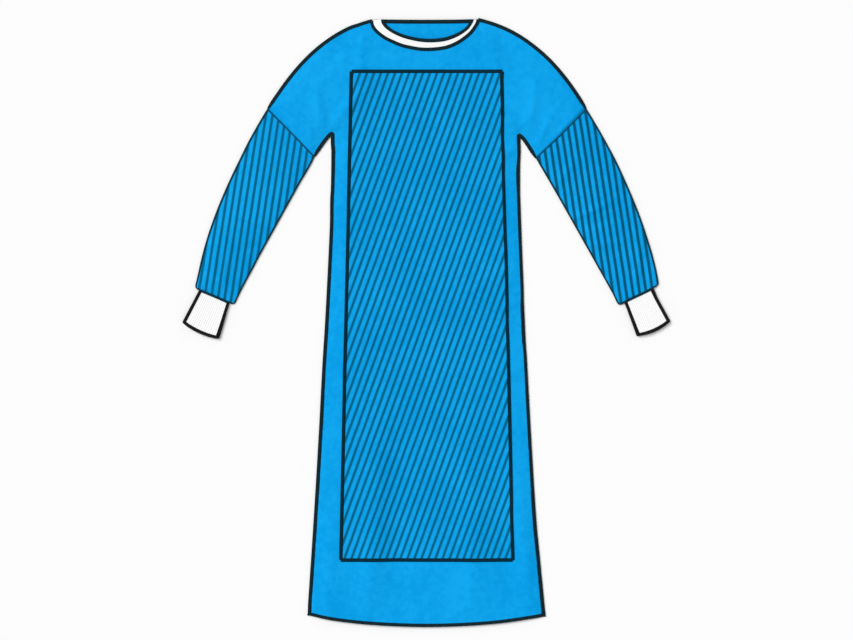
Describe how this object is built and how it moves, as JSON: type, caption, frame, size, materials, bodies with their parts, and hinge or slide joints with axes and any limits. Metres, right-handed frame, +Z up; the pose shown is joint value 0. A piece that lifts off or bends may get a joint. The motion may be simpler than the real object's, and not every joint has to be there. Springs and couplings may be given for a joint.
{
  "type": "surgical gown",
  "caption": "Long-sleeved back-closing surgical gown laid flat, front up, with a hatched reinforcement on the chest and skirt, hatched lower sleeves, white knit cuffs and a white neck binding.",
  "frame": {"origin": "on the surface that the gown lies on, under the middle of its width and length", "axes": "+Y towards the neck, +X towards the picture's right sleeve, +Z up, out of the front"},
  "size_m": [0.9994, 1.2501, 0.0076],
  "materials": {
    "body_cloth": "bright blue nonwoven, matt with a faint sheen",
    "reinforced_cloth": "bright blue nonwoven with fine dark diagonal stripes",
    "cuff_knit": "white rib knit",
    "binding_cloth": "white folded tape, matt"
  },
  "bodies": {
    "root": {"front": "body_cloth", "back_outer": "body_cloth", "back_inner": "body_cloth", "front_reinforcement": "reinforced_cloth", "sleeve_left": "reinforced_cloth", "sleeve_right": "reinforced_cloth", "cuff_left": "cuff_knit", "cuff_right": "cuff_knit", "neck_binding": "binding_cloth", "neck_tape": "binding_cloth"}
  },
  "joints": []
}
